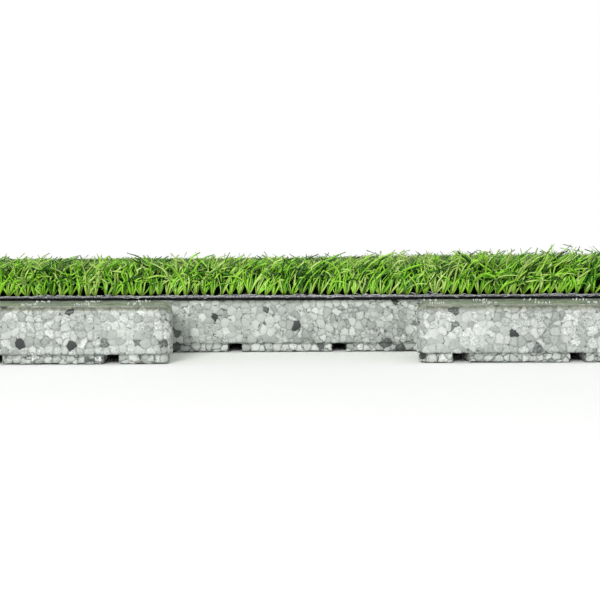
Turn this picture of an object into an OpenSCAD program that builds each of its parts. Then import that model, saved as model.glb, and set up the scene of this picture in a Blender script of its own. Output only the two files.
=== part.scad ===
// Golf hitting mat: a sheet of tufted turf laid loose on six moulded bead-foam panels.
// The panels are alike. Each has dovetail tabs on its front and right edges, and dovetail
// notches on its left and back edges, so that neighbours lock together in both directions.
// Millimetres, +Z up. The origin is under the middle of the mat, and the front edge faces -Y.

/* [Panel] */
// Thickness of a panel, from the floor to the turf
panel_t = 26; // [18:1:50]
// Tabs along one edge of a panel
tabs_per_edge = 2; // [1:1:3]
// Width of a tab where it leaves the panel
tab_neck_w = 107; // [90:1:130]
// How much each side of a tab flares out towards its tip
tab_flare = 10; // [4:1:16]
// How far a tab stands out from the panel
tab_depth = 50; // [36:1:60]
// Radius of the upright corners of tabs and notches
corner_r = 5.5; // [4.5:0.5:10]
// Radius of the edge round the top face
edge_r = 3; // [1:0.25:3.5]
// Gap left between two panels that are locked together
joint_gap = 0.4; // [0.2:0.1:1]

/* [Underside] */
// Height of the feet that the panel stands on
foot_h = 4; // [3:0.5:8]
// How far the feet stand back from the panel's edge
foot_inset = 1.2; // [0.6:0.2:3]
// Drainage channels across a panel in each direction
channels = 9; // [6:1:11]
// Width of a drainage channel
channel_w = 7; // [5:0.5:9]
// From the panel's left edge to its first front-to-back channel
channel_x = 48; // [40:1:56]
// From the panel's front edge to its first side-to-side channel
channel_y = 26; // [18:1:34]

/* [Turf] */
// Thickness of the dark coat on the turf's underside
coat_t = 1; // [0.6:0.1:2]
// Thickness of the woven backing that holds the tufts
backing_t = 1.2; // [0.6:0.1:2]
// Height of the pile above the backing, to the tips of the blades
pile_h = 19; // [10:0.5:30]
// How far the matted pile stays below the tips of the blades
pile_nap = 2; // [1:0.25:4]
// Thickness of the slice of backing that the blades grow from
root_t = 0.5; // [0.3:0.1:0.8]
// Width of the border of loose blades along the cut edge
fringe_w = 9; // [7:0.5:14]
// Blades in the fringe along a long edge
fringe_long = 112; // [60:1:130]
// Blades in the fringe along a short edge
fringe_short = 74; // [40:1:90]
// Radius of a blade at its root
blade_r = 1.8; // [1:0.1:2.2]
// Farthest that a blade's tip leans from its root
blade_lean = 3; // [1:0.25:3.5]

/* [Hidden] */

columns = 3;
rows = 2;

// A tab and the space beside it have the same outline, so a pitch is two of each width
tab_tip_w = tab_neck_w + 2 * tab_flare;
tab_pitch = tab_neck_w + tab_tip_w;
panel_pitch = tabs_per_edge * tab_pitch;
channel_pitch = panel_pitch / channels;

// The turf ends in line with the bottoms of the recesses, so only tabs show beyond it
turf_w = columns * panel_pitch - tab_depth;
turf_d = rows * panel_pitch - tab_depth;
mat_x = -tab_depth - turf_w / 2;
mat_y = -turf_d / 2;
coat_z = panel_t;
backing_z = coat_z + coat_t;
pile_z = backing_z + backing_t;

foam = "#c6cfc7";
pile_green = "#5f9a2e";
weave_grey = "#8d8c93";
coat_black = "#26272a";

arc_steps = 3;
arc_heights = [0, 0.7, 1];
blade_sides = 3;
blade_bend = 0.5;
blade_seed = 11;
overcut = 1;

function left_of(v) = [-v[1], v[0]];
function unit(v) = v / norm(v);
function turned(v, a) = [v[0] * cos(a) - v[1] * sin(a), v[0] * sin(a) + v[1] * cos(a)];
function reversed(list) = [for (i = [len(list) - 1 : -1 : 0]) list[i]];
function mix(a, b, t) = a + (b - a) * t;

// One panel edge as seen from outside: x runs along it, and y is negative where a tab stands out
function teeth() = [
    for (k = [0 : tabs_per_edge - 1])
        for (p = [[-tab_neck_w, 0], [-tab_tip_w, -tab_depth], [tab_tip_w, -tab_depth], [tab_neck_w, 0]])
            [(k + 0.5) * tab_pitch + p[0] / 2, p[1]]
];

// The corners of a panel, anticlockwise, before they are rounded
function panel_corners() = concat(
    [[0, 0]],
    teeth(),
    [[panel_pitch, 0]],
    [for (p = teeth()) [panel_pitch - p[1], p[0]]],
    [[panel_pitch, panel_pitch]],
    reversed([for (p = teeth()) [p[0], panel_pitch + p[1]]]),
    [[0, panel_pitch]],
    reversed([for (p = teeth()) [-p[1], p[0]]])
);

// A corner as an arc, on an outline that is drawn in by inset all round
function rounded_corner(before, at, after, inset) =
    let (
        a = left_of(unit(at - before)),
        b = left_of(unit(after - at)),
        side = sign(cross(a, b)),
        angle = acos(a * b),
        centre = at + side * corner_r * (a + b) / (1 + a * b),
        r = corner_r - side * inset
    )
    [for (j = [0 : arc_steps]) centre - side * r * turned(a, side * angle * j / arc_steps)];

function panel_outline(inset) =
    let (c = panel_corners(), n = len(c), in = inset + joint_gap / 2)
    [for (i = [0 : n - 1]) each rounded_corner(c[(i + n - 1) % n], c[i], c[(i + 1) % n], in)];

// The rounded edge of the top face: a band swept round the outline, from the wall to the flat
module top_edge() {
    foot_of_edge = panel_t - edge_r;
    profile = concat(
        [for (t = arc_heights) [edge_r * (1 - sqrt(1 - t * t)), foot_of_edge + edge_r * t]],
        [[edge_r, foot_of_edge]]
    );
    rings = [for (p = profile) [for (q = panel_outline(p[0])) [q[0], q[1], p[1]]]];
    m = len(profile);
    n = len(rings[0]);
    polyhedron(
        points = [for (ring = rings) each ring],
        faces = [
            for (k = [0 : m - 1])
                for (i = [0 : n - 1])
                    let (low = k * n, high = (k + 1) % m * n, j = (i + 1) % n)
                    each [[low + i, high + i, high + j], [low + i, high + j, low + j]]
        ]
    );
}

module slab() {
    translate([0, 0, foot_h])
        linear_extrude(panel_t - edge_r - foot_h)
            polygon(panel_outline(0));
    translate([0, 0, panel_t - edge_r])
        linear_extrude(edge_r)
            polygon(panel_outline(edge_r));
    top_edge();
}

module feet() {
    reach = panel_pitch + 2 * tab_depth;
    difference() {
        linear_extrude(foot_h)
            polygon(panel_outline(foot_inset));
        for (k = [-1 : channels]) {
            translate([channel_x + k * channel_pitch - channel_w / 2, -tab_depth - overcut, -overcut])
                cube([channel_w, reach, foot_h + overcut]);
            translate([-overcut, channel_y + k * channel_pitch - channel_w / 2, -overcut])
                cube([reach, channel_w, foot_h + overcut]);
        }
    }
}

module panel(column, row) {
    color(foam)
        translate([mat_x + column * panel_pitch, mat_y + row * panel_pitch, 0])
            union() {
                slab();
                feet();
            }
}

// A sheet of the turf's cut size
module turf_sheet(z, t) {
    translate([-turf_w / 2, -turf_d / 2, z])
        cube([turf_w, turf_d, t]);
}

// Points at even steps round a rectangle that is drawn in from the cut edge, anticlockwise
function turf_ring(inset, z) =
    let (
        x = turf_w / 2 - inset,
        y = turf_d / 2 - inset,
        c = [[-x, -y, z], [x, -y, z], [x, y, z], [-x, y, z]],
        steps = [fringe_long, fringe_short, fringe_long, fringe_short]
    )
    [for (s = [0 : 3]) for (i = [0 : steps[s] - 1]) mix(c[s], c[(s + 1) % 4], i / steps[s])];

// One ring of points round a blade
function blade_ring(centre, r) = [
    for (j = [0 : blade_sides - 1])
        let (a = 360 * j / blade_sides - 90)
        centre + r * [cos(a), sin(a), 0]
];

// The matted pile as a block, with a border of separate bent blades along its cut edge
module pile() {
    floor_z = pile_z + root_t;
    cut = turf_ring(0, pile_z);
    rim = turf_ring(0, floor_z);
    foot = turf_ring(fringe_w, floor_z);
    nap = turf_ring(fringe_w + pile_nap, pile_z + pile_h - pile_nap);
    n = len(cut);
    leans = rands(-blade_lean, blade_lean, n, blade_seed);
    heights = rands(pile_h - pile_nap, pile_h, n, blade_seed + 1);
    per_blade = 2 * blade_sides + 1;
    blades = [
        for (i = [0 : n - 1])
            let (
                j = (i + 1) % n,
                root = (rim[i] + rim[j] + foot[i] + foot[j]) / 4,
                along = unit(rim[j] - rim[i]),
                top = [0, 0, heights[i] - root_t],
                tip = root + leans[i] * along + top,
                bend = root + leans[i] * blade_bend * blade_bend * along + top * blade_bend
            )
            each concat(blade_ring(root, blade_r), blade_ring(bend, blade_r * 0.75), [tip])
    ];
    heart = [[0, 0, pile_z], [0, 0, pile_z + pile_h - pile_nap]];
    first_blade = 4 * n;
    under = first_blade + len(blades);
    over = under + 1;

    function wall(low, high, i, j) = [[low + i, low + j, high + j], [low + i, high + j, high + i]];
    // The slice round a blade's root is cut into triangles between the border's cell and the root
    function cell(i, j, b) =
        let (q = [n + i, n + j, 2 * n + j, 2 * n + i], t = [b, b + 1, b + 2])
        [
            [q[0], q[1], t[0]], [q[1], t[1], t[0]], [q[1], q[2], t[1]], [q[2], t[2], t[1]],
            [q[2], q[3], t[2]], [q[3], q[0], t[2]], [q[0], t[0], t[2]]
        ];
    function blade(b) = [
        for (s = [0 : blade_sides - 1])
            let (s2 = (s + 1) % blade_sides, mid = b + blade_sides, tip = b + 2 * blade_sides)
            each [[b + s, b + s2, mid + s2], [b + s, mid + s2, mid + s], [mid + s, mid + s2, tip]]
    ];

    polyhedron(
        points = concat(cut, rim, foot, nap, blades, heart),
        faces = [
            for (i = [0 : n - 1])
                let (j = (i + 1) % n, b = first_blade + i * per_blade)
                for (f = concat(
                    wall(0, n, i, j), cell(i, j, b), blade(b), wall(2 * n, 3 * n, i, j),
                    [[j, i, under], [3 * n + i, 3 * n + j, over]]
                ))
                    [f[2], f[1], f[0]]
        ]
    );
}

module turf_pile() {
    color(pile_green) pile();
}

module turf_backing() {
    color(weave_grey) turf_sheet(backing_z, backing_t);
}

module turf_coat() {
    color(coat_black) turf_sheet(coat_z, coat_t);
}

panel(0, 0);  // panel_front_left
panel(1, 0);  // panel_front_middle
panel(2, 0);  // panel_front_right
panel(0, 1);  // panel_rear_left
panel(1, 1);  // panel_rear_middle
panel(2, 1);  // panel_rear_right
turf_pile();
turf_backing();
turf_coat();
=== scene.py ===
"""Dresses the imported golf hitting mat: bead-foam panels, tufted turf on its backing, and a white stage."""

import math
from functools import partial

import bmesh
import bpy
import numpy as np
from bpy.props import FloatProperty, FloatVectorProperty, IntProperty, PointerProperty
from mathutils import Matrix, Vector, noise


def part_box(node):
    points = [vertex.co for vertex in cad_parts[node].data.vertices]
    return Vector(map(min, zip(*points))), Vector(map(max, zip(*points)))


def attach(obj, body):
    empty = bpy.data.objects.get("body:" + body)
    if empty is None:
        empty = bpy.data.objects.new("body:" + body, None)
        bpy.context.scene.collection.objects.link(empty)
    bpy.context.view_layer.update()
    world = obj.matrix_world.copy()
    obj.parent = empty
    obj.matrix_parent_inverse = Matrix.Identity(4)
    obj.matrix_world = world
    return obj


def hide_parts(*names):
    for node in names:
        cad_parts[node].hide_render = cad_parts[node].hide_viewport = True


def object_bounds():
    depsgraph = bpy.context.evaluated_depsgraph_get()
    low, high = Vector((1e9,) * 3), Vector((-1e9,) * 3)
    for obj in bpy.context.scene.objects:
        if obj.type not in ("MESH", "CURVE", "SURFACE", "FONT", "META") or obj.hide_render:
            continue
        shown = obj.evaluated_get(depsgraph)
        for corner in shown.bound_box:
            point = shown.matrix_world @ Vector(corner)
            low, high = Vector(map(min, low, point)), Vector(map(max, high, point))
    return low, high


bl_info = {
    "name": "Golf Hitting Mat",
    "version": (1, 0, 0),
    "blender": (4, 5, 0),
    "location": "View3D > Sidebar > Mat",
    "description": "Builds the looks of a golf hitting mat on its packed frame",
    "category": "Object",
}

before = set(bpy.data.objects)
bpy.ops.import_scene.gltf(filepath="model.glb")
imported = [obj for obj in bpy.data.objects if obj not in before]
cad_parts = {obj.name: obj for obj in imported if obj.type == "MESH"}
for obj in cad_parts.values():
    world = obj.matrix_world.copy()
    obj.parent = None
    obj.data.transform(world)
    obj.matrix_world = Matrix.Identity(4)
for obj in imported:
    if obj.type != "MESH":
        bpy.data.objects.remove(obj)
CAD_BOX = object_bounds()

MM = 0.001
ROWS = ("front", "rear")
COLUMNS = ("left", "middle", "right")
TURF_LOW, TURF_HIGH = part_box("turf_backing")
COAT_LOW, COAT_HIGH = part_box("turf_coat")
PILE_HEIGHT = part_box("turf_pile")[1][2] - TURF_HIGH[2]
FIRST_LOW, FIRST_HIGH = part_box("panel_front_left")
PANEL_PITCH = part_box("panel_front_middle")[0][0] - FIRST_LOW[0]
PANEL_T = FIRST_HIGH[2]

# Sides of a panel, in the order that its outline runs
FRONT, RIGHT, BACK, LEFT = range(4)

# A map range that eases in and out
SOFT = {"interpolation_type": "SMOOTHSTEP"}
WHITE = (1, 1, 1, 1)


def linear(hex_colour):
    """Linear RGB from an sRGB hex value."""
    parts = [int(hex_colour[i:i + 2], 16) / 255 for i in (0, 2, 4)]
    return tuple(c / 12.92 if c <= 0.04045 else ((c + 0.055) / 1.055) ** 2.4 for c in parts)


def length(label, text, mm):
    """A length that a user may change, from its default in millimetres."""
    return FloatProperty(name=label, description=text, default=mm * MM, unit="LENGTH", precision=4)


def colour(label, text, hex_colour):
    """A colour that a user may change."""
    return FloatVectorProperty(
        name=label, description=text, default=linear(hex_colour), subtype="COLOR", size=3, min=0, max=1
    )


class MatFoamSettings(bpy.types.PropertyGroup):
    """Sizes and colours of the bead-foam panels."""

    tabs: IntProperty(name="Tabs", description="Tabs along one edge of a panel", default=2)
    tab_neck: length("Tab neck", "Width of a tab where it leaves the panel", 107)
    tab_flare: length("Tab flare", "How much each side of a tab flares out", 10)
    tab_depth: length("Tab depth", "How far a tab stands out", 50)
    corner: length("Corner", "Radius of the upright corners", 5.5)
    top_edge: length("Top edge", "Radius of the edge round the top face", 3)
    joint_gap: length("Joint gap", "Gap between two locked panels", 0.4)
    foot: length("Foot", "Height of the feet", 4)
    foot_inset: length("Foot inset", "How far the feet stand back from the edge", 1.2)
    channels: IntProperty(name="Channels", description="Drainage channels each way", default=9)
    channel: length("Channel", "Width of a drainage channel", 7)
    channel_x: length("First channel in X", "From the left edge to the first channel", 48)
    channel_y: length("First channel in Y", "From the front edge to the first channel", 26)
    bead: length("Bead", "Mean width of a foam bead", 3.7)
    relief: length("Bead relief", "Depth of the crevices between beads", 0.3)
    step: length("Mesh step", "Spacing of points on the mat's outer walls", 1.2)
    vent: length("Vent", "Width of the mark of a steam vent", 7.5)
    vent_pitch: length("Vent pitch", "Spacing of the steam vents", 24)
    white: colour("White bead", "The few lightest beads", "e8eee7")
    pale: colour("Pale bead", "Light beads", "dbe1da")
    middle: colour("Middle bead", "Most beads", "cad1ca")
    deep: colour("Deep bead", "The greyest of the plain beads", "adb4ad")
    grey: colour("Grey bead", "A few beads between plain and charcoal", "5c625e")
    dark: colour("Dark bead", "The few charcoal beads", "343936")
    # The crevice colour is painted shade, put in the pits between beads
    pit_painted_shade: colour("Crevice", "The gaps between beads", "4a4f4a")
    # The skin colour is painted shade and a painted olive reflection of the turf
    skin: colour("Skin", "Tint of the smooth skin on the top faces", "a5a78d")
    # The pimple colour is a painted highlight
    pimple_painted_highlight: colour("Pimple", "The brightest part of a vent's pimples", "f6f8f4")


class MatTurfSettings(bpy.types.PropertyGroup):
    """Sizes and colours of the turf."""

    gauge: length("Gauge", "Spacing of the tufts", 4.4)
    field_gauge: length("Field gauge", "Spacing of the tufts away from the edge", 6.8)
    blade: length("Blade width", "Width of a blade", 0.98)
    blade_length: length("Blade length", "Length of a blade along its bend", 34)
    rim_blades: IntProperty(name="Rim blades", description="Blades in a tuft at the edge", default=10)
    field_blades: IntProperty(name="Field blades", description="Blades in a tuft of the field", default=5)
    seed: IntProperty(name="Seed", description="Starts the random numbers", default=7)
    deep: colour("Deep blade", "The darkest blades", "1f4c0c")
    shade: colour("Shaded blade", "Deep green blades", "4a9a1a")
    green: colour("Green blade", "Most blades", "a2f038")
    light: colour("Light blade", "Light green blades", "c0fa54")
    lime: colour("Lime blade", "The few yellow-green blades", "e4f8a0")
    # The root colour is a painted highlight on the feet of the tufts along the cut
    root: colour("Blade root", "The pale foot of each tuft", "a8cc54")
    weave: colour("Weave", "The woven backing", "c6c5cd")
    fibre: colour("Fibre", "Loose fibres along the cut", "f2f2f5")
    coat: colour("Coat", "The latex coat under the backing", "0d0e0f")
    # The litter colour is painted shadow of the pile on the backing's top
    painted_pile_shadow: colour("Litter", "Crumbs of old blades between the tufts", "1e3510")


class MatStageSettings(bpy.types.PropertyGroup):
    """The camera and the lights."""

    camera_x: length("Camera X", "The camera's place along the mat", -22.5)
    camera_back: length("Camera distance", "From the tabs' faces to the camera", 428)
    camera_height: length("Camera height", "From the floor to the camera", 50.4)
    camera_pitch: FloatProperty(
        name="Camera pitch", description="How far it looks down", default=math.radians(2.93), subtype="ANGLE"
    )
    camera_roll: FloatProperty(
        name="Camera roll", description="How far it turns over", default=math.radians(-0.24), subtype="ANGLE"
    )
    lens: FloatProperty(name="Lens", description="Focal length", default=58.1, subtype="DISTANCE_CAMERA")
    sky: FloatProperty(name="Sky", description="Strength of the even light all round", default=0.52)
    key: FloatProperty(name="Key", description="Power of the soft lamp in watts", default=19.0)
    key_width: length("Key width", "Width of the soft lamp", 600)
    key_height: length("Key height", "Height of the soft lamp", 500)
    floor: colour("Floor", "The pale floor", "f4f5f4")
    seen_floor: FloatProperty(
        name="Seen floor", description="How much brighter the camera sees the floor", default=1.4
    )


def feed(node, inputs):
    """Sets or links a node's inputs, by name or in order. A node stands for its first live output."""
    for name, value in inputs.items() if isinstance(inputs, dict) else enumerate(inputs):
        if isinstance(value, bpy.types.Node):
            value = next(socket for socket in value.outputs if socket.enabled)
        if isinstance(value, bpy.types.NodeSocket):
            node.id_data.links.new(value, node.inputs[name])
        else:
            node.inputs[name].default_value = value


def add(tree, kind, inputs=(), stops=(), **settings):
    """Adds a node with its settings, inputs or links, and a ramp's stops. A plain kind is a shader node."""
    made = tree.nodes.new(kind if "Node" in kind else "ShaderNode" + kind)
    for name, value in settings.items():
        setattr(made, name, value)
    feed(made, inputs)
    for i, (place, rgb) in enumerate(stops):
        elements = made.color_ramp.elements
        stop = elements[i] if i < 2 else elements.new(place)
        stop.position = place
        stop.color = (*rgb, 1)
    return made


def new_material(name):
    """A material with nothing but its shader and output, and what puts nodes in it."""
    material = bpy.data.materials.new(name)
    material.use_nodes = True
    material.node_tree.nodes.clear()
    put = partial(add, material.node_tree)
    shader = put("BsdfPrincipled")
    put("OutputMaterial", {"Surface": shader})
    return material, put, shader


def bead_cells(put, place, width):
    """Packed beads round a place: the depth inside a bead, in bead widths, and its random colour."""
    # Slow wanders change the beads' sizes and quick ones their outlines: pace and reach, in bead widths
    for pace, reach in ((0.5, 0.7), (2.2, 0.4), (6.0, 0.2), (13.0, 0.1)):
        wander = put("TexNoise", {"Vector": place, "Scale": pace / width, "Detail": 1.0})
        moved = (wander.outputs["Color"], (reach * width,) * 3, place)
        place = put("VectorMath", moved, operation="MULTIPLY_ADD")
    spread = {"Vector": place, "Scale": 1 / width, "Randomness": 0.75}
    nearest, second = [put("TexVoronoi", spread, feature=rank) for rank in ("F1", "F2")]
    # The gap between the two nearest beads widens where three of them meet
    depth = put("Math", (second, nearest), operation="SUBTRACT")
    return depth, nearest.outputs["Color"]


def foam_material(foam):
    """Expanded polypropylene beads fused by steam in a mould.

    The eye sees flattened beads of slightly different greys with thin darker crevices, a few charcoal beads,
    pits where beads didn't meet, and a satin top face.
    The crevices, the pits and the feet are darkened by painted shade, each bead's shoulder gets a painted
    highlight, and the top faces get painted shade and a painted olive reflection of the turf.
    """
    material, put, shader = new_material("moulded_bead_foam")
    place = put("TexCoord").outputs["Object"]
    depth, tint = bead_cells(put, place, foam.bead)
    parts = put("SeparateColor", {"Color": tint}).outputs
    # Cells inside a bead, 0.9 mm wide, which break up the charcoal beads most
    fine = {"Vector": place, "Scale": 1 / (0.9 * MM), "Detail": 2.0, "Roughness": 0.6}
    cells = put("TexNoise", fine)
    grain = put("Math", (cells, 0.5), operation="SUBTRACT")
    broken = put("Math", (grain, 0.035, parts["Red"]), operation="MULTIPLY_ADD")
    # How the beads share out between the greys
    greys = (
        (0.0, foam.dark),
        (0.014, foam.dark),
        (0.017, foam.grey),
        (0.028, foam.grey),
        (0.045, foam.deep),
        (0.45, foam.middle),
        (0.85, foam.pale),
        (0.95, foam.white),
    )
    tone = put("ValToRGB", {"Fac": broken}, greys)
    # The cells show in about half of the beads, and the shade changes slowly over 20 mm
    shown = put("MapRange", (parts["Green"], 0.3, 0.7, 0.3, 1.6))
    cloud = put("TexNoise", {"Vector": place, "Scale": 1 / (20 * MM), "Detail": 3.0})
    slow = put("MapRange", (cloud, 0.3, 0.7, 0.8, 1.02))
    mottle = put("Math", (grain, shown, slow), operation="MULTIPLY_ADD")
    # Painted shade darkens a bead at the crevices round it, a painted highlight lights its shoulder, and its
    # middle is a little duller
    lights = ((0.0, 0.48), (0.1, 0.76), (0.24, 0.98), (0.4, 1.04), (0.75, 0.98))
    shade = put("ValToRGB", {"Fac": depth}, [(at, (light,) * 3) for at, light in lights])
    # The painted shade in the crevices comes and goes over 5 to 25 mm, and is strongest all along the feet,
    # which it darkens
    patches = put("TexNoise", {"Vector": place, "Scale": 1 / (25 * MM), "Detail": 4.0})
    loose = put("Attribute", attribute_name="loose").outputs["Fac"]
    painted_shade_amount = put("Math", (loose, 0.25, patches), operation="MULTIPLY_ADD")
    strength = put("MapRange", (painted_shade_amount, 0.36, 0.6, 0.25, 1.0))
    # Mixes in the painted shade and painted highlight by their strength
    rounded = put("Mix", {0: strength, 6: WHITE, 7: shade}, data_type="RGBA")
    toned = put("VectorMath", (tone, rounded), operation="MULTIPLY")
    with_painted_bead_shade = put("VectorMath", {0: toned, "Scale": mottle}, operation="SCALE")
    # Pits about 0.6 mm wide where beads didn't quite meet, most of them along the feet, drawn as spots of
    # painted shade
    worn = put("TexNoise", {"Vector": place, "Scale": 1 / (2.2 * MM), "Detail": 1.0})
    likely = put("Math", (loose, 0.12, worn), operation="MULTIPLY_ADD")
    speck = put("MapRange", (likely, 0.54, 0.66, 0.0, 0.9), **SOFT)
    along = put("MapRange", (depth, 0.03, 0.1, 1.0, 0.0), **SOFT)
    pit_shade_share = put("Math", (speck, along), operation="MULTIPLY")
    with_painted_pit_shade = put("Mix", {0: pit_shade_share, 6: with_painted_bead_shade, 7: (*foam.pit_painted_shade, 1)}, data_type="RGBA")
    # The top faces keep the mould's smooth surface, and their olive grey is painted shade and a painted
    # reflection of the turf
    skin = put("Attribute", attribute_name="skin").outputs["Fac"]
    skin_shade_inputs = {0: skin, 6: with_painted_pit_shade, 7: (*foam.skin, 1)}
    with_painted_skin_shade = put("Mix", skin_shade_inputs, data_type="RGBA", blend_type="MULTIPLY")
    rough = put("MapRange", (skin, 0.0, 0.5, 0.45, 0.3))
    dome = put("MapRange", (depth, 0.0, 0.3), **SOFT)
    height = put("Math", (cells, 0.4, dome), operation="MULTIPLY_ADD")
    firm = put("MapRange", (skin, 0.0, 0.5, 0.8, 0.1))
    bump = put("Bump", {"Height": height, "Distance": 0.12 * MM, "Strength": firm})
    feed(shader, {"Base Color": with_painted_skin_shade, "Roughness": rough, "Normal": bump, "IOR": 1.49})
    return material


def painted_highlight_pimple_material(foam):
    """The same foam where it was pressed into the holes of a steam vent: smooth, and made brighter than the
    beads by a painted highlight.
    """
    material, put, shader = new_material("vent_pimple_painted_highlight")
    place = put("TexCoord").outputs["Object"]
    cells = put("TexNoise", {"Vector": place, "Scale": 1 / (1.5 * MM), "Detail": 2.0})
    shown = put("ValToRGB", {"Fac": cells}, ((0.35, foam.pale), (0.6, foam.pimple_painted_highlight)))
    feed(shader, {"Base Color": shown, "Roughness": 0.5})
    return material


def blade_material(turf):
    """Extruded polyethylene yarn, cut to blades: glossy ribbons in several greens, with a painted highlight
    at the foot of each tuft along the cut and painted shade low inside the pile.

    The blade's own map carries its green across and the way from root to tip upwards. The left half of the
    map is for the blades along the cut, and the right half for those inside the pile.
    """
    material, put, shader = new_material("polyethylene_turf_yarn")
    own = put("UVMap", uv_map="OFBake")
    across, up, _ = put("SeparateXYZ", {"Vector": own}).outputs
    inside = put("Math", (across, 0.5), operation="GREATER_THAN")
    twice = put("Math", (across, 2.0), operation="MULTIPLY")
    tone = put("Math", (twice,), operation="FRACT")
    greens = ((0.0, turf.deep), (0.3, turf.shade), (0.55, turf.green), (0.8, turf.light), (1.0, turf.lime))
    green = put("ValToRGB", {"Fac": tone}, greens)
    # Along the cut a painted highlight makes the foot of a tuft paler, in the root colour; inside the pile it
    # has none
    foot = put("MapRange", (up, 0.03, 0.25, 0.5, 0.0), **SOFT)
    pale = put("Mix", {0: inside, 2: foot, 3: 0.0}, data_type="FLOAT")
    with_painted_foot_highlight = put("Mix", {0: pale, 6: green, 7: (*turf.root, 1)}, data_type="RGBA")
    # Along the cut the lowest millimetre of a blade is darker, and inside the pile painted shade darkens it
    # from the root nearly to the tip
    darker_at_root = put("MapRange", (up, 0.0, 0.03, 0.4, 1.0))
    painted_pile_shade = put("MapRange", (up, 0.4, 0.95, 0.02, 1.1))
    root_dark_and_painted_shade = put("Mix", {0: inside, 2: darker_at_root, 3: painted_pile_shade}, data_type="FLOAT")
    with_root_dark_and_painted_shade = put("VectorMath", {0: with_painted_foot_highlight, "Scale": root_dark_and_painted_shade}, operation="SCALE")
    # The cut tips are a little scorched and dirty
    tip = put("MapRange", (up, 0.88, 1.0, 1.0, 0.5))
    tipped = put("VectorMath", {0: with_root_dark_and_painted_shade, "Scale": tip}, operation="SCALE")
    feed(shader, {"Base Color": tipped, "Roughness": 0.2, "IOR": 1.5, "Specular IOR Level": 0.55})
    return material


def weave_material(turf):
    """Woven polypropylene tape: a plain weave of narrow grey tapes, dull, with a soft frayed cut edge."""
    material, put, shader = new_material("woven_polypropylene_backing")
    place = put("TexCoord").outputs["Object"]
    # Tapes 1.6 mm wide each way
    bands = {"Vector": place, "Scale": math.pi / (10 * 1.6 * MM), "Distortion": 0.6, "Detail": 1.0}
    tapes = [put("TexWave", bands, bands_direction=way).outputs["Fac"] for way in "XY"]
    over = put("Math", tapes, operation="MULTIPLY")
    fuzz = put("TexNoise", {"Vector": place, "Scale": 1 / (0.7 * MM), "Detail": 3.0})
    mixed = put("Math", (over, 0.3, fuzz), operation="MULTIPLY_ADD")
    dark = tuple(0.35 * c for c in turf.weave)
    greys = ((0.35, dark), (0.6, turf.weave), (0.85, turf.fibre))
    shown = put("ValToRGB", {"Fac": mixed}, greys)
    # The weave darkens towards its bottom, to nearly black in its lowest 0.2 mm
    up = put("SeparateXYZ", {"Vector": place}).outputs["Z"]
    darkest_below, plain_above = TURF_LOW[2] + 0.2 * MM, TURF_LOW[2] + 0.7 * MM
    darker_low = put("MapRange", (up, darkest_below, plain_above, 0.08, 1.0))
    darkened_low = put("VectorMath", {0: shown, "Scale": darker_low}, operation="SCALE")
    # Painted shadow of the pile darkens its top, in a dark green
    shadow_from, full = TURF_HIGH[2] - 0.05 * MM, TURF_HIGH[2] - 0.02 * MM
    under_pile_shadow = put("MapRange", (up, shadow_from, full))
    with_painted_pile_shadow = put("Mix", {0: under_pile_shadow, 6: darkened_low, 7: (*turf.painted_pile_shadow, 1)}, data_type="RGBA")
    bump = put("Bump", {"Height": mixed, "Distance": 0.3 * MM, "Strength": 0.8})
    feed(shader, {"Base Color": with_painted_pile_shadow, "Normal": bump, "Roughness": 0.75})
    return material


def fibre_material(turf):
    """Loose polypropylene fibres pulled from the cut weave: thin, pale grey and slightly shiny."""
    material, put, shader = new_material("frayed_backing_fibre")
    own = put("UVMap", uv_map="OFBake")
    across = put("SeparateXYZ", {"Vector": own}).outputs["X"]
    dark = tuple(0.12 * c for c in turf.weave)
    greys = ((0.0, dark), (0.45, turf.weave), (1.0, turf.fibre))
    shown = put("ValToRGB", {"Fac": across}, greys)
    feed(shader, {"Base Color": shown, "Roughness": 0.5})
    return material


def coat_material(turf):
    """Black styrene-butadiene latex, spread wet on the weave: dull, with small lumps and dusty worn spots."""
    material, put, shader = new_material("latex_backing_coat")
    place = put("TexCoord").outputs["Object"]
    lumps = put("TexNoise", {"Vector": place, "Scale": 1 / (2.2 * MM), "Detail": 4.0})
    worn = tuple(4 * c for c in turf.coat)
    shown = put("ValToRGB", {"Fac": lumps}, ((0.5, turf.coat), (0.75, worn)))
    bump = put("Bump", {"Height": lumps, "Distance": 0.4 * MM, "Strength": 0.9})
    feed(shader, {"Base Color": shown, "Normal": bump, "Roughness": 0.7, "Specular IOR Level": 0.15})
    return material


def mesh_from(name, bm):
    """A mesh from a bmesh, which is freed."""
    mesh = bpy.data.meshes.new(name)
    bm.to_mesh(mesh)
    bm.free()
    return mesh


def linked(name, data):
    """A new object in the scene."""
    made = bpy.data.objects.new(name, data)
    bpy.context.scene.collection.objects.link(made)
    return made


def make_piece(name, mesh, material, body, node):
    """Links a mesh as a piece of the mat that rides on a body and stands for a node."""
    piece = linked(name, mesh)
    piece.data.materials.append(material)
    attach(piece, body)
    if node:
        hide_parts(node)
    return piece


def tab_edge(foam):
    """One panel edge seen from outside: along it, and out of it where a tab stands."""
    tip = foam.tab_neck + 2 * foam.tab_flare
    pitch = foam.tab_neck + tip
    steps = ((-foam.tab_neck, 0), (-tip, foam.tab_depth), (tip, foam.tab_depth), (foam.tab_neck, 0))
    return [((k + 0.5) * pitch + w / 2, out) for k in range(foam.tabs) for w, out in steps]


def panel_corners(foam):
    """A panel's corners, anticlockwise from its front left one, before they are rounded."""
    edge = tab_edge(foam)
    far = PANEL_PITCH
    return (
        [(0, 0)]
        + [(along, -out) for along, out in edge]
        + [(far, 0)]
        + [(far + out, along) for along, out in edge]
        + [(far, far)]
        + [(along, far - out) for along, out in reversed(edge)]
        + [(0, far)]
        + [(out, along) for along, out in reversed(edge)]
    )


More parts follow.
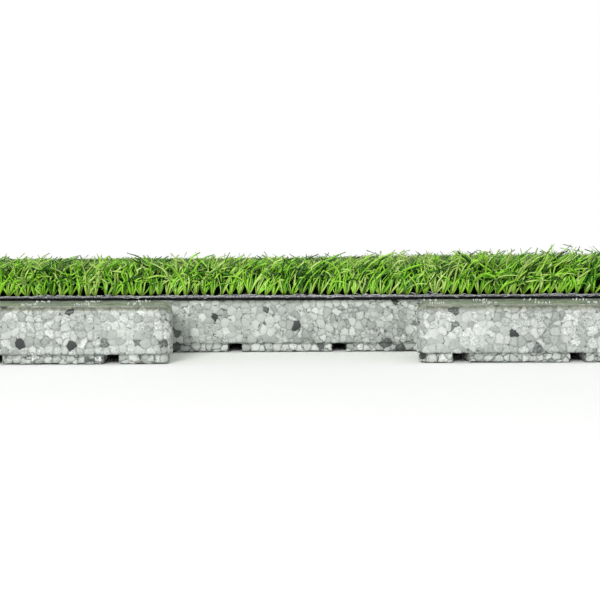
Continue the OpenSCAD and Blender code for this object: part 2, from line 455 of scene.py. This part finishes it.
def on_sides(x, y, foam, sides):
    """Whether points of a panel lie on these sides. Places are from the panel's own corner."""
    slack = 3 * MM
    far = PANEL_PITCH
    deep = foam.tab_depth + slack
    tests = {
        FRONT: y < slack,
        RIGHT: x > far - slack,
        BACK: (y > far - deep) & (x > slack) & (x < far - slack),
        LEFT: (x < deep) & (y < far - slack) & (y > slack),
    }
    found = np.zeros_like(x, dtype=bool)
    for side in sides:
        found |= tests[side]
    return found


def turn_at(corner):
    """How far the outline turns at one of its corners."""
    loop = corner.link_loops[0]
    arriving = (corner.co - loop.link_loop_prev.vert.co).xy
    leaving = (loop.link_loop_next.vert.co - corner.co).xy
    return arriving.angle(leaving)


def grown(bm, faces, lift, keep=False):
    """Extrudes faces up or down and gives the new ones. The old ones stay only where they close the form."""
    made = bmesh.ops.extrude_face_region(bm, geom=faces)["geom"]
    bmesh.ops.translate(bm, verts=[g for g in made if isinstance(g, bmesh.types.BMVert)], vec=(0, 0, lift))
    if not keep:
        bmesh.ops.delete(bm, geom=faces, context="FACES_ONLY")
    return [g for g in made if isinstance(g, bmesh.types.BMFace)]


def panel_floor(bm, foam, sides):
    """A panel's outline as one face: rounded corners, half the joint gap, and fine steps on these sides."""
    floor = bm.faces.new([bm.verts.new((x, y, foam.foot)) for x, y in panel_corners(foam)])
    groups = {}
    for corner in floor.verts:
        groups.setdefault(round(turn_at(corner), 3), []).append(corner)
    for turn, corners in groups.items():
        bmesh.ops.bevel(
            bm,
            geom=corners,
            offset=foam.corner * math.tan(turn / 2),
            offset_type="ABSOLUTE",
            affect="VERTICES",
            segments=8,
            profile=0.5,
            material=-1,
        )
    bm.faces.ensure_lookup_table()
    floor = bm.faces[0]
    half_gap = foam.joint_gap / 2
    ring = bmesh.ops.inset_region(bm, faces=[floor], thickness=half_gap, use_even_offset=True)["faces"]
    bmesh.ops.delete(bm, geom=ring, context="FACES")
    for edge in list(bm.edges):
        a, b = (v.co for v in edge.verts)
        middle = (a + b) / 2
        cuts = round((a - b).length / foam.step) - 1
        if cuts > 0 and on_sides(np.array([middle.x]), np.array([middle.y]), foam, sides)[0]:
            bmesh.ops.subdivide_edges(bm, edges=[edge], cuts=cuts)
    bm.faces.ensure_lookup_table()
    return bm.faces[0]


def raise_slab(bm, foam, floor):
    """Raises a panel's floor to a slab: a wall in steps finer than a bead, and a quarter round at its top."""
    wall = PANEL_T - foam.top_edge - foam.foot
    rise = 1.25 * foam.step
    rises = round(wall / rise)
    top = floor
    for k in range(rises):
        (top,) = grown(bm, [top], wall / rises, keep=k == 0)
    turns = 4
    for k in range(turns):
        low, high = (math.pi / 2 * i / turns for i in (k, k + 1))
        drawn = foam.top_edge * (math.cos(low) - math.cos(high))
        lift = foam.top_edge * (math.sin(high) - math.sin(low))
        bmesh.ops.inset_region(bm, faces=[top], thickness=drawn, depth=0, use_even_offset=True)
        bmesh.ops.translate(bm, verts=list(top.verts), vec=(0, 0, lift))
    bmesh.ops.recalc_face_normals(bm, faces=list(bm.faces))


def grow_feet(bm, foam):
    """A panel's feet: its underside is drawn in, cut along the channels, and grown down to the floor."""
    under = min(bm.faces, key=lambda f: (f.calc_center_median().z, -f.calc_area()))
    bmesh.ops.inset_region(bm, faces=[under], thickness=foam.foot_inset, use_even_offset=True)
    # The cuts go wrong across a notch, so the underside is first split into convex faces
    under.material_index = 1
    bmesh.ops.connect_verts_concave(bm, faces=[under])
    pads = [f for f in bm.faces if f.material_index]
    for face in pads:
        face.material_index = 0
    ways = (Vector((1, 0, 0)), Vector((0, 1, 0)))
    half = foam.channel / 2
    pitch = PANEL_PITCH / foam.channels
    lines = [
        (axis, first + k * pitch)
        for axis, first in enumerate((foam.channel_x, foam.channel_y))
        for k in range(-1, foam.channels + 1)
    ]
    for axis, at in lines:
        for cut in (at - half, at + half):
            geom = pads + list({e for f in pads for e in f.edges}) + list({v for f in pads for v in f.verts})
            plane = {"plane_co": cut * ways[axis], "plane_no": ways[axis], "dist": 1e-7}
            made = bmesh.ops.bisect_plane(bm, geom=geom, **plane)["geom"]
            pads = [g for g in made if isinstance(g, bmesh.types.BMFace)]

    def in_channel(face):
        middle = face.calc_center_bounds()
        return any(abs(middle[axis] - at) < half for axis, at in lines)

    pads = [f for f in pads if not in_channel(f)]
    falls = 4
    for _ in range(falls):
        pads = grown(bm, pads, -foam.foot / falls)
    bmesh.ops.recalc_face_normals(bm, faces=list(bm.faces))


def mark_panel(mesh, foam, sides, corner):
    """Marks where beads stand out, where they are loose and get more painted shade, the mould's smooth top
    with its painted shade, and a foot's drawn-in edges.
    """
    places = np.empty(len(mesh.vertices) * 3, np.float32)
    mesh.vertices.foreach_get("co", places)
    x, y, z = places.reshape(-1, 3).T
    outer = on_sides(x, y, foam, sides)
    beside_turf = (
        TURF_LOW[0] - corner.x - x,
        corner.x + x - TURF_HIGH[0],
        TURF_LOW[1] - corner.y - y,
        corner.y + y - TURF_HIGH[1],
    )
    # The painted shade on the top faces is weaker over the turf and within 20 mm of it, and darkest on the
    # rounding just below the top face
    skin_shade_off_turf = np.interp(np.max(beside_turf, axis=0), (0, 20 * MM), (0.25, 1.0))
    skin = np.interp(PANEL_T - z, (0, 0.25 * MM, 1.3 * MM, 2.5 * MM), (0.42, 0.85, 0.95, 0.0))
    below_top = z < PANEL_T - 0.1 * MM
    on_foot = z < foam.foot - 0.1 * MM
    levels = (0, foam.foot / 4, 3 * foam.foot / 4, foam.foot, foam.foot + 0.1 * MM)
    marks = {
        "relief": (outer & below_top) * np.where(on_foot, 2.4, 1.0),
        "loose": np.interp(z, (foam.foot - 0.2 * MM, foam.foot + 0.6 * MM), (1.0, 0.0)),
        "skin": skin * skin_shade_off_turf,
        "drawn": outer * np.interp(z, levels, (0.3 * MM, -0.2 * MM, -0.2 * MM, 0.6 * MM, 0)),
    }
    for mark, values in marks.items():
        mesh.attributes.new(mark, "FLOAT", "POINT").data.foreach_set("value", values.astype(np.float32))


def panel_mesh(name, foam, column, row):
    """One foam panel: its outline raised to a slab, its feet between the channels, and its marks."""
    sides = [FRONT] * (row == 0) + [RIGHT] * (column == len(COLUMNS) - 1)
    sides += [BACK] * (row == len(ROWS) - 1) + [LEFT] * (column == 0)
    bm = bmesh.new()
    raise_slab(bm, foam, panel_floor(bm, foam, sides))
    grow_feet(bm, foam)
    # Faces that lie level are shaded flat
    level = 0.98
    for face in bm.faces:
        face.smooth = len(face.verts) == 4 and abs(face.normal.z) < level
    mesh = mesh_from(name, bm)
    corner = Vector((FIRST_LOW[0] - foam.joint_gap / 2, TURF_LOW[1], 0))
    corner += Vector((column * PANEL_PITCH, row * PANEL_PITCH, 0))
    mark_panel(mesh, foam, sides, corner)
    mesh.transform(Matrix.Translation(corner))
    return mesh


def bead_relief(foam):
    """Geometry nodes that sink the crevices into the outer walls, where the material draws them."""
    tree = bpy.data.node_groups.new("bead_relief", "GeometryNodeTree")
    for way in ("INPUT", "OUTPUT"):
        tree.interface.new_socket("Geometry", in_out=way, socket_type="NodeSocketGeometry")
    put = partial(add, tree)
    came = put("NodeGroupInput")
    place = put("GeometryNodeInputPosition").outputs["Position"]
    depth, _ = bead_cells(put, place, foam.bead)
    sunk = put("MapRange", (depth, 0.0, 0.35, -foam.relief, 0.0), **SOFT)
    relief, drawn = [
        put("GeometryNodeInputNamedAttribute", {"Name": mark}, data_type="FLOAT").outputs["Attribute"]
        for mark in ("relief", "drawn")
    ]
    masked = put("Math", (sunk, relief), operation="MULTIPLY")
    lift = put("Math", (masked, drawn), operation="SUBTRACT")
    out = put("GeometryNodeInputNormal").outputs["Normal"]
    offset = put("VectorMath", {0: out, "Scale": lift}, operation="SCALE")
    moved = put("GeometryNodeSetPosition", {"Geometry": came, "Offset": offset})
    put("NodeGroupOutput", {"Geometry": moved})
    return tree


class MAT_OT_panels(bpy.types.Operator):
    """Moulds the six bead-foam panels"""

    bl_idname = "mat.panels"
    bl_label = "Foam Panels"

    def execute(self, context):
        foam = context.scene.mat_foam
        material = foam_material(foam)
        relief = bead_relief(foam)
        for row, row_name in enumerate(ROWS):
            for column, column_name in enumerate(COLUMNS):
                node = f"panel_{row_name}_{column_name}"
                name = f"foam_{row_name}_{column_name}"
                mesh = panel_mesh(name, foam, column, row)
                piece = make_piece(name, mesh, material, "base", node)
                piece.modifiers.new("Bead relief", "NODES").node_group = relief
                seen = piece.evaluated_get(context.evaluated_depsgraph_get())
                shaped = bpy.data.meshes.new_from_object(seen)
                piece.modifiers.clear()
                piece.data = shaped
                bpy.data.meshes.remove(mesh)
                shaped.name = name
        return {"FINISHED"}


# A strand bends more towards its tip: 1 would bend it evenly
CURL = 1.3
# Times that a crimped strand sways from side to side on its way
SWAYS = 1.75


def strand_shape(widths):
    """One upright strand of three long faces: Z runs from 0 at its root to 1 at its tip.

    It has a ring for each width. A last width of 0 draws it to a point.
    """
    # A triangle whose sides are about 1 long
    radius = 0.58
    bm = bmesh.new()
    bmesh.ops.create_cone(bm, cap_ends=True, segments=3, radius1=radius, radius2=radius, depth=1)
    bmesh.ops.translate(bm, verts=bm.verts, vec=(0, 0, 0.5))
    upright = [e for e in bm.edges if abs(e.verts[0].co.z - e.verts[1].co.z) > 0.5]
    if len(widths) > 2:
        bmesh.ops.subdivide_edges(bm, edges=upright, cuts=len(widths) - 2)
    for k, width in enumerate(widths):
        ring = [v for v in bm.verts if round(v.co.z * (len(widths) - 1)) == k]
        bmesh.ops.scale(bm, vec=(width, width, 1), verts=ring)
    bmesh.ops.remove_doubles(bm, verts=bm.verts, dist=1e-5)
    bmesh.ops.triangulate(bm, faces=bm.faces)
    bmesh.ops.recalc_face_normals(bm, faces=bm.faces)
    bm.verts.index_update()
    points = np.array([v.co for v in bm.verts])
    faces = np.array([[v.index for v in f.verts] for f in bm.faces])
    bm.free()
    return points, faces


def unit(v):
    """Vectors along the last axis, made one long."""
    return v / np.linalg.norm(v, axis=-1, keepdims=True)


def headings(start, end, sway, levels):
    """Where strands head at these levels, as levels by strands: from start to end, swaying more and more."""
    t = np.asarray(levels)[:, None, None]
    return start + (end - start) * t**CURL + sway * np.sin(2 * math.pi * SWAYS * t) * t**0.7


def strands(name, widths, root, start, end, sway, long, wide, facing, tone, fold, shown_from=0.0):
    """A mesh of many strands of one shape, each bent from its start heading to its end heading.

    Its map holds the strand's tone across and the way from root to tip upwards, or the upper part of it.
    """
    points, faces = strand_shape(widths)
    count = len(root)
    levels, level_of = np.unique(np.round(points[:, 2], 4), return_inverse=True)
    bend = headings(start, end, sway, levels).transpose(1, 0, 2)
    heading = unit(bend)
    places = [root]
    for k in range(len(levels) - 1):
        way = unit((bend[:, k] + bend[:, k + 1]) / 2)
        places.append(places[-1] + way * (long * (levels[k + 1] - levels[k]))[:, None])
    across = unit(np.cross(heading, facing[:, None]))
    ridge = np.cross(heading, across)
    verts = np.stack(places, 1)[:, level_of]
    verts = verts + across[:, level_of] * (points[:, 0] * wide[:, None])[..., None]
    verts = verts + ridge[:, level_of] * (points[:, 1] * wide[:, None] * fold)[..., None]
    corners = (faces[None] + (np.arange(count) * len(points))[:, None, None]).ravel()
    mesh = bpy.data.meshes.new(name)
    mesh.vertices.add(count * len(points))
    mesh.vertices.foreach_set("co", verts.ravel())
    mesh.loops.add(len(corners))
    mesh.loops.foreach_set("vertex_index", corners)
    mesh.polygons.add(count * len(faces))
    mesh.polygons.foreach_set("loop_start", np.arange(0, len(corners), 3))
    mesh.polygons.foreach_set("use_smooth", np.ones(count * len(faces), bool))
    mesh.update(calc_edges=True)
    own = np.empty((count, faces.size, 2), np.float32)
    own[..., 0] = tone[:, None]
    own[..., 1] = shown_from + (1 - shown_from) * points[faces.ravel(), 2]
    mesh.uv_layers.new(name="OFBake").data.foreach_set("uv", own.ravel())
    mesh.validate()
    return mesh


def vent_places(foam):
    """Where the steam vents of the mould marked the top faces that show beside the turf: their middles."""
    tip = foam.tab_neck + 2 * foam.tab_flare
    pitch = foam.tab_neck + tip
    count = len(COLUMNS) * foam.tabs, len(ROWS) * foam.tabs
    low = Vector((FIRST_LOW[0] - foam.joint_gap / 2, TURF_LOW[1], 0))
    far = low + Vector((len(COLUMNS) * PANEL_PITCH, len(ROWS) * PANEL_PITCH, 0))
    # Two rows on each tab, a little to one side of its middle
    rows = (13 * MM, 37 * MM)
    shift = -4 * MM
    along = [shift + k * foam.vent_pitch for k in (-2, -1, 0, 1, 2)]
    places = []
    for k in range(count[0]):
        for a in along:
            tab = low.x + (k + 0.5) * pitch + a
            places += [(tab, low.y - foam.tab_depth + r) for r in rows]
            places += [(tab + pitch / 2, far.y - r) for r in rows if k < count[0] - 1]
    for k in range(count[1]):
        for a in along:
            tab = low.y + (k + 0.5) * pitch + a
            places += [(far.x + foam.tab_depth - r, tab) for r in rows]
            places += [(low.x + r, tab + pitch / 2) for r in rows if k < count[1] - 1]
    return places


class MAT_OT_vents(bpy.types.Operator):
    """Adds the pimples that the mould's steam vents leave on the panels' top faces"""

    bl_idname = "mat.vents"
    bl_label = "Steam Vent Marks"

    def execute(self, context):
        foam = context.scene.mat_foam
        seed = 5
        rng = np.random.default_rng(seed)
        # A vent has one hole in its middle and six in a ring round it
        holes = 7
        ring = 0.42 * foam.vent
        middles = np.repeat(np.array(vent_places(foam)), holes, axis=0)
        n = len(middles)
        hole = np.arange(n) % holes
        around = hole * math.pi / 3 + np.repeat(rng.uniform(0, math.pi / 3, n // holes), holes)
        facing = np.column_stack((np.cos(around), np.sin(around), np.zeros(n)))
        off = np.where(hole > 0, ring, 0)[:, None] * facing[:, :2]
        up = np.tile((0.0, 0.0, 1.0), (n, 1))
        mesh = strands(
            "foam_vent_marks",
            widths=(1.0, 0.9, 0.5),
            root=np.column_stack((middles + off, np.full(n, PANEL_T - 0.2 * MM))),
            start=up,
            end=up + np.column_stack((rng.normal(0, 0.25, (n, 2)), np.zeros(n))),
            sway=0.0,
            long=rng.uniform(0.8, 1.15, n) * MM,
            wide=rng.uniform(0.65, 0.9, n) * MM,
            facing=facing,
            tone=rng.uniform(0, 1, n),
            fold=1.0,
        )
        make_piece("foam_vent_marks", mesh, painted_highlight_pimple_material(foam), "base", None)
        return {"FINISHED"}


def rim_places(inset, pitch):
    """Even places round the turf's cut edge, drawn in from it, and the way out from each."""
    low = np.array(TURF_LOW[:2]) + inset
    high = np.array(TURF_HIGH[:2]) - inset
    places, outward = [], []
    corners = [low, (high[0], low[1]), high, (low[0], high[1])]
    ways = [(0, -1), (1, 0), (0, 1), (-1, 0)]
    for k in range(4):
        a, b = np.array(corners[k]), np.array(corners[(k + 1) % 4])
        n = round(np.linalg.norm(b - a) / pitch)
        places.append(a + (b - a) * ((np.arange(n) + 0.5) / n)[:, None])
        outward.append(np.tile(ways[k], (n, 1)))
    return np.concatenate(places), np.concatenate(outward)


def lay_of_pile(x, y):
    """How far the pile leans along X at each place. It changes in waves 0.6 and 1.1 m long."""
    return 0.48 + 0.12 * np.sin((x + 0.025) / 0.1) + 0.1 * np.sin((y + 0.4) / 0.17)


def stand_of_pile(x, y):
    """How high the pile stands at each place, against its mown height: less on the left and to the back."""
    worn = (y - TURF_LOW[1]) / (TURF_HIGH[1] - TURF_LOW[1])
    return 1.02 + 0.085 * np.tanh((x - 0.04) / 0.06) - 0.36 * worn


# Shares of the blades: those that arch over, those at the cut that the mower missed, and those of dark yarn
ARCHED = 0.4
MISSED = 0.012
DARK_YARN = 0.1


def tufts(rng, turf, middles, outward, blades, stout, inside, rings):
    """The blades of tufts at these places, as strands takes them, from their roots to their tones.

    Headings are slopes: a start rises by 1. Outward is 1 long at the cut and 0 in the field.
    """
    n = len(middles) * blades
    tuft = np.repeat(np.arange(len(middles)), blades)
    leg = np.where(np.arange(n) % 2, 1.0, -1.0)
    jitter = rng.normal(0, 0.28, (len(middles), 2)) * MM
    root = np.empty((n, 3))
    root[:, :2] = (middles + jitter)[tuft]
    root[:, 0] += leg * rng.uniform(0.05, 0.4, n) * MM
    root[:, 1] += rng.normal(0, 0.3, n) * MM
    root[:, 2] = TURF_HIGH[2] - 0.3 * MM
    lean = lay_of_pile(root[:, 0], root[:, 1]) + rng.normal(0, 0.2, len(middles))[tuft]
    # A stitch leaves two legs that part along the row, and then the pile's lay takes over
    start = np.ones((n, 3))
    parted = rng.uniform(0.1, 0.7, len(middles))[tuft]
    start[:, 0] = leg * parted * rng.uniform(0, 1, n) + 0.4 * lean
    start[:, 1] = rng.normal(0, 0.12, n)
    start[:, :2] += 0.2 * outward[tuft]
    # Most of the blades stand and the others arch over
    arched = rng.random(n) < ARCHED
    end = np.empty((n, 3))
    end[:, 0] = 0.8 * lean + 0.4 * leg * rng.uniform(0, 1, n) + rng.normal(0, 0.85, n)
    end[:, 1] = rng.normal(0, 0.7, n)
    end[:, :2] += 0.25 * outward[tuft]
    end[:, 2] = np.where(arched, rng.uniform(-0.7, 0.2, n), rng.uniform(0.2, 1.0, n))
    # The yarn keeps the crimp that it was made with
    sway = np.zeros((n, 3))
    sway[:, :2] = rng.normal(0, 1.25, (n, 2))
    # A blade ends where it was mown, if it reaches that high, but a few were missed
    bend = headings(start, end, sway, np.linspace(0, 1, rings))
    rise = (unit(bend[:-1] + bend[1:])[..., 2].cumsum(0) / (rings - 1)).max(0)
    edge = np.linalg.norm(outward, axis=1)[tuft]
    spread = np.clip(rng.normal(0, 1, n), -2, 2.2)
    # Away from the cut, balls and feet keep the pile down
    inset = np.minimum(root[:, :2] - TURF_LOW[:2], np.array(TURF_HIGH[:2]) - root[:, :2]).min(1)
    trodden = np.interp(inset, (20 * MM, 160 * MM), (0.98, 0.8))
    mown = np.where(edge > 0, 1.01 + 0.07 * spread, trodden + 0.04 * spread)
    mown += 0.15 * ((rng.random(n) < MISSED) & (edge > 0))
    proud = 0.97 + 0.08 * edge
    mown = mown * proud * PILE_HEIGHT * stand_of_pile(root[:, 0], root[:, 1])
    long = turf.blade_length * rng.uniform(0.7, 1.2, n) * np.where(arched, 0.65, 1)
    long = np.minimum(long, mown / rise)
    wide = stout * turf.blade * rng.uniform(0.75, 1.25, n)
    around = rng.uniform(0, 2 * math.pi, n)
    facing = np.column_stack((np.cos(around), np.sin(around), np.zeros(n)))
    # The yarn is spun from dark and light blades, and tufts differ a little too
    dark = rng.random(n) < DARK_YARN
    tone = np.where(dark, rng.uniform(-0.05, 0.25, n), rng.normal(0.74, 0.3, n))
    tone = tone + rng.normal(0, 0.08, len(middles))[tuft]
    return root, start, end, sway, long, wide, facing, (np.clip(tone, 0.02, 0.92) + inside) / 2


class MAT_OT_pile(bpy.types.Operator):
    """Tufts the pile: dense rows along the cut edge and a field of tufts inside them"""

    bl_idname = "mat.pile"
    bl_label = "Turf Pile"

    def execute(self, context):
        turf = context.scene.mat_turf
        rng = np.random.default_rng(turf.seed)
        material = blade_material(turf)
        # The rim's rows from the cut inwards: the letters of a row's pieces and the widths of a blade's rings
        rim = (
            ("abc", (0.6, 1.0, 1.1, 1.0, 0.95, 0.85, 0.75, 0.4)),
            ("ab", (0.8, 1.0, 0.95, 0.75, 0.4)),
            ("a", (0.8, 1.0, 0.0)),
            ("a", (0.8, 1.0, 0.0)),
        )
        first = 2.0 * MM
        for k, (letters, widths) in enumerate(rim):
            places, outward = rim_places(first + k * turf.gauge, turf.gauge)
            shares = [np.array_split(a, len(letters)) for a in (places, outward * (1 - k / len(rim)))]
            for letter, part, out in zip(letters, *shares):
                name = f"pile_rim_{k + 1}{letter}"
                made = tufts(rng, turf, part, out, turf.rim_blades - k, 1 + 0.1 * k, k > 0, len(widths))
                mesh = strands(name, widths, *made, fold=0.7)
                make_piece(name, mesh, material, "turf", "turf_pile")
        inset = first + len(rim) * turf.gauge
        low = np.array(TURF_LOW[:2]) + inset
        high = np.array(TURF_HIGH[:2]) - inset
        count = np.round((high - low) / turf.field_gauge).astype(int)
        xs = low[0] + (np.arange(count[0]) + 0.5) * (high[0] - low[0]) / count[0]
        ys = low[1] + (np.arange(count[1]) + 0.5) * (high[1] - low[1]) / count[1]
        # The field's blades are broad and straight, and only the upper part of them shows
        widths = (1.0, 0.0)
        stout = 2.1
        bands = 7
        for k, part in enumerate(np.array_split(ys, bands)):
            gx, gy = np.meshgrid(xs, part)
            places = np.column_stack((gx.ravel(), gy.ravel()))
            places += rng.uniform(-0.4, 0.4, places.shape) * turf.field_gauge
            made = tufts(rng, turf, places, 0 * places, turf.field_blades, stout, True, len(widths))
            name = f"pile_field_{k + 1}"
            mesh = strands(name, widths, *made, fold=0.45, shown_from=0.35)
            make_piece(name, mesh, material, "turf", "turf_pile")
        return {"FINISHED"}


class MAT_OT_fibres(bpy.types.Operator):
    """Frays the backing's cut edge with loose fibres"""

    bl_idname = "mat.fibres"
    bl_label = "Frayed Fibres"

    def execute(self, context):
        turf = context.scene.mat_turf
        rng = np.random.default_rng(turf.seed + 1)
        # A fibre every half millimetre, which lies along the cut one way or the other
        places, outward = rim_places(inset=0.1 * MM, pitch=0.5 * MM)
        n = len(places)
        along = np.column_stack((-outward[:, 1], outward[:, 0])) * rng.choice((-1.0, 1.0), n)[:, None]
        root = np.empty((n, 3))
        root[:, :2] = places + outward * rng.normal(0, 0.25, n)[:, None] * MM
        # The cut wanders up and down a little over 10 to 30 mm
        reach = places.sum(1) / (5 * MM)
        wander = 0.2 * np.sin(reach) + 0.15 * np.sin(0.37 * reach + 1)
        root[:, 2] = TURF_LOW[2] + (1.1 + wander + rng.normal(0, 0.2, n)) * MM
        start, end = [
            np.column_stack((along + outward * rng.normal(0.05, out, n)[:, None], rng.normal(0, up, n)))
            for out, up in ((0.2, 0.2), (0.3, 0.25))
        ]
        mesh = strands(
            "backing_fibres",
            widths=(0.6, 1.0, 0.0),
            root=root,
            start=start,
            end=end,
            sway=0.0,
            long=rng.uniform(1.2, 4.5, n) * MM,
            wide=rng.uniform(0.25, 0.55, n) * MM,
            facing=np.tile((0.0, 0.0, 1.0), (n, 1)),
            tone=np.clip(rng.beta(2.0, 1.0, n), 0.01, 0.99),
            fold=0.8,
        )
        make_piece("backing_fibres", mesh, fibre_material(turf), "turf", "turf_backing")
        return {"FINISHED"}


def turf_layer(name, low, high, ragged, wave, drawn):
    """A flat layer of the turf whose cut is drawn in and uneven, by a short raggedness and a long wave."""
    middle = Vector(((low[0] + high[0]) / 2, (low[1] + high[1]) / 2))
    half = Vector(((high[0] - low[0]) / 2, (high[1] - low[1]) / 2))
    bm = bmesh.new()
    bmesh.ops.create_grid(bm, x_segments=1, y_segments=1, size=1)
    bmesh.ops.scale(bm, vec=(*half, 1), verts=bm.verts)
    bmesh.ops.translate(bm, vec=(*middle, low[2]), verts=bm.verts)
    step = 1.5 * MM
    for edge in list(bm.edges):
        bmesh.ops.subdivide_edges(bm, edges=[edge], cuts=round(edge.calc_length() / step) - 1)
    bm.faces.ensure_lookup_table()
    top = bm.faces[0]
    layers = 3
    for k in range(layers):
        (top,) = grown(bm, [top], (high[2] - low[2]) / layers, keep=k == 0)
    bmesh.ops.recalc_face_normals(bm, faces=list(bm.faces))
    for vert in bm.verts:
        away = vert.co.xy - middle
        inward = Vector((0, 0))
        for axis in (0, 1):
            if half[axis] - abs(away[axis]) < 1e-6:
                inward[axis] = -math.copysign(1, away[axis])
        short = 0.5 + 0.5 * noise.noise(vert.co / (1.3 * MM))
        slow = 0.5 + 0.5 * noise.noise(vert.co / (17 * MM))
        vert.co.xy += inward * (drawn + ragged * short + wave * slow)
    for face in bm.faces:
        face.smooth = len(face.verts) == 4
    return mesh_from(name, bm)


class MAT_OT_backing(bpy.types.Operator):
    bl_idname = "mat.backing"
    bl_label = "Turf Backing"

    def execute(self, context):
        turf = context.scene.mat_turf
        cut = {"ragged": 0.7 * MM, "wave": 1.2 * MM, "drawn": 0.5 * MM}
        coat = turf_layer("latex_coat", COAT_LOW, COAT_HIGH, **cut)
        make_piece("latex_coat", coat, coat_material(turf), "turf", "turf_coat")
        cut = {"ragged": 0.7 * MM, "wave": 0.3 * MM, "drawn": 0.4 * MM}
        weave = turf_layer("woven_backing", TURF_LOW, TURF_HIGH, **cut)
        material = weave_material(turf)
        piece = make_piece("woven_backing", weave, material, "turf", "turf_backing")
        return {"FINISHED"}


def seen_rays(put):
    """1 for what the camera sees, straight or by way of a mirror or glass, and 0 for light on the mat."""
    ray = put("LightPath").outputs
    seen = ray["Is Camera Ray"]
    for other in ("Is Glossy Ray", "Is Transmission Ray"):
        seen = put("Math", (seen, ray[other]), operation="MAXIMUM")
    return seen


def floor_material(stage):
    """Plain white paper sweep: even, dull, and bright enough to read as white with a faint shadow."""
    material, put, shader = new_material("white_paper_floor")
    seen = seen_rays(put)
    brighter = tuple(stage.seen_floor * c for c in stage.floor)
    paper = put("Mix", {0: seen, 6: (*stage.floor, 1), 7: (*brighter, 1)}, data_type="RGBA")
    feed(shader, {"Base Color": paper, "Roughness": 0.9})
    # Far from the mat, in metres, the paper fades to plain white, so that no horizon shows
    near, far = 1.2, 2.4
    glow = put("Emission", {"Color": WHITE, "Strength": 1.0})
    place = put("TexCoord").outputs["Object"]
    away = put("VectorMath", (place,), operation="LENGTH")
    faded = put("MapRange", (away, near, far), **SOFT)
    share = put("Math", (seen, faded), operation="MULTIPLY")
    mixed = put("MixShader", (share, shader, glow))
    out = next(n for n in material.node_tree.nodes if n.type == "OUTPUT_MATERIAL")
    feed(out, {"Surface": mixed})
    return material


class MAT_OT_stage(bpy.types.Operator):
    """Sets the floor, the lights and the camera"""

    bl_idname = "mat.stage"
    bl_label = "Stage"

    def execute(self, context):
        scene = context.scene
        stage = scene.mat_stage
        scene.view_settings.view_transform = "Standard"
        bm = bmesh.new()
        bmesh.ops.create_grid(bm, x_segments=4, y_segments=4, size=20)
        bmesh.ops.translate(bm, vec=(0, 0, -0.05 * MM), verts=bm.verts)
        floor = linked("floor", mesh_from("floor", bm))
        floor.data.materials.append(floor_material(stage))

        world = bpy.data.worlds.new("even_sky")
        world.use_nodes = True
        world.node_tree.nodes.clear()
        put = partial(add, world.node_tree)
        light = put("MapRange", (seen_rays(put), 0.0, 1.0, stage.sky, 1.0))
        back = put("Background", {"Color": WHITE, "Strength": light})
        put("OutputWorld", {"Surface": back})
        scene.world = world

        # A soft lamp behind the camera, above it and to its left
        lamp = bpy.data.lights.new("soft_lamp", "AREA")
        lamp.shape = "RECTANGLE"
        lamp.size = stage.key_width
        lamp.size_y = stage.key_height
        lamp.energy = stage.key
        lamp_object = linked("soft_lamp", lamp)
        lamp_place = Vector((-0.45, TURF_LOW[1] - 1.7, 0.8))
        aim = Vector((stage.camera_x, TURF_LOW[1], 0.02))
        lamp_object.location = lamp_place
        lamp_object.rotation_euler = (aim - lamp_place).to_track_quat("-Z", "Y").to_euler()

        camera = bpy.data.cameras.new("camera")
        camera.lens = stage.lens
        camera.sensor_width = 36
        camera.clip_start = 0.01
        camera_object = linked("camera", camera)
        camera_object.location = (stage.camera_x, CAD_BOX[0][1] - stage.camera_back, stage.camera_height)
        tilted = Matrix.Rotation(math.pi / 2 - stage.camera_pitch, 4, "X")
        rolled = Matrix.Rotation(stage.camera_roll, 4, "Z")
        camera_object.rotation_euler = (tilted @ rolled).to_euler()
        scene.camera = camera_object
        return {"FINISHED"}


class MAT_PT_sidebar(bpy.types.Panel):
    """Lists the mat's steps and sizes"""

    bl_label = "Golf Hitting Mat"
    bl_space_type = "VIEW_3D"
    bl_region_type = "UI"
    bl_category = "Mat"

    def draw(self, context):
        for step in STEPS:
            self.layout.operator(step.bl_idname)
        for group in GROUPS:
            settings = getattr(context.scene, group)
            box = self.layout.box()
            for name in settings.bl_rna.properties.keys():
                if name not in ("rna_type", "name"):
                    box.prop(settings, name)


STEPS = (MAT_OT_stage, MAT_OT_panels, MAT_OT_vents, MAT_OT_pile, MAT_OT_fibres, MAT_OT_backing)
GROUPS = {"mat_foam": MatFoamSettings, "mat_turf": MatTurfSettings, "mat_stage": MatStageSettings}


def register():
    """Adds the settings, the operators and the panel."""
    for cls in (*GROUPS.values(), *STEPS, MAT_PT_sidebar):
        bpy.utils.register_class(cls)
    for name, cls in GROUPS.items():
        setattr(bpy.types.Scene, name, PointerProperty(type=cls))


def unregister():
    """Takes them away again."""
    for name in GROUPS:
        delattr(bpy.types.Scene, name)
    for cls in (MAT_PT_sidebar, *reversed(STEPS), *GROUPS.values()):
        bpy.utils.unregister_class(cls)


def main():
    """Builds the whole mat."""
    register()
    for step in STEPS:
        group, name = step.bl_idname.split(".")
        getattr(getattr(bpy.ops, group), name)()


if __name__ == "__main__":
    main()
